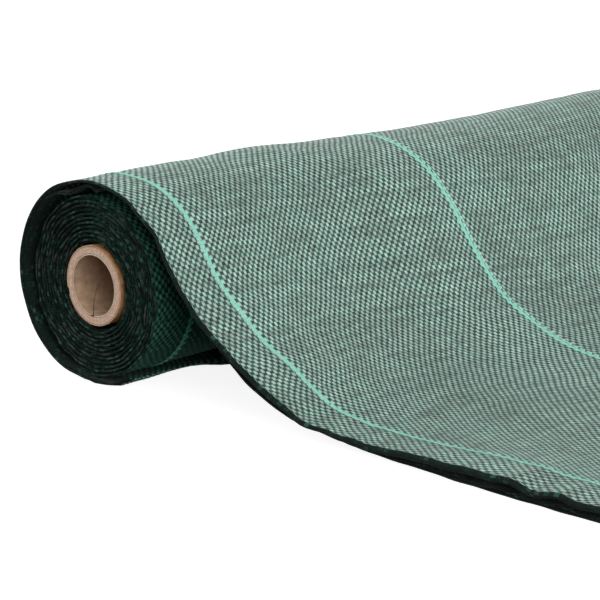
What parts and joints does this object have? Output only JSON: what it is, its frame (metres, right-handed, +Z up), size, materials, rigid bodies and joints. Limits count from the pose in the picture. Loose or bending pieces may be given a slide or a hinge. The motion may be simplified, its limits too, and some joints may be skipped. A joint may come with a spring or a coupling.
{
  "type": "roll of weed control cloth",
  "caption": "Woven ground-cover cloth, folded lengthwise and wound on a cardboard core, its free end drawn off over the top of the roll and laid on the floor.",
  "frame": {"origin": "on the floor under the core's axis, halfway along the cloth's width, at the foot of the slack outer lap", "axes": "+X along the roll, from the pictured end to the far one; +Z up; the free cloth is laid out towards -Y"},
  "size_m": [1.0116, 0.5641, 0.1279],
  "materials": {
    "core_board": "wound kraft paperboard, matt, with short fibres at the cut end",
    "core_liner": "grey-brown liner paper, matt, butt seam along a helix",
    "cloth": "plain weave of flat polypropylene tapes, pale green weft tapes over dark green and black warp tapes, slight plastic sheen",
    "guide_yarn": "pale aqua polypropylene tape, slight sheen"
  },
  "bodies": {
    "laid_length": {"paid_out_cloth": "cloth", "laid_guide_yarn_1": "guide_yarn", "laid_guide_yarn_2": "guide_yarn"},
    "roll": {"core_body": "core_board", "core_outer_ply": "core_board", "core_inner_ply": "core_liner", "wound_cloth": "cloth", "wound_guide_yarn_1": "guide_yarn", "wound_guide_yarn_2": "guide_yarn"}
  },
  "joints": [
    {"name": "roll_spin", "type": "hinge", "parent": "laid_length", "child": "roll", "pos_m": [0, 0, 0.0607], "axis": [1, 0, 0], "continuous": true}
  ]
}
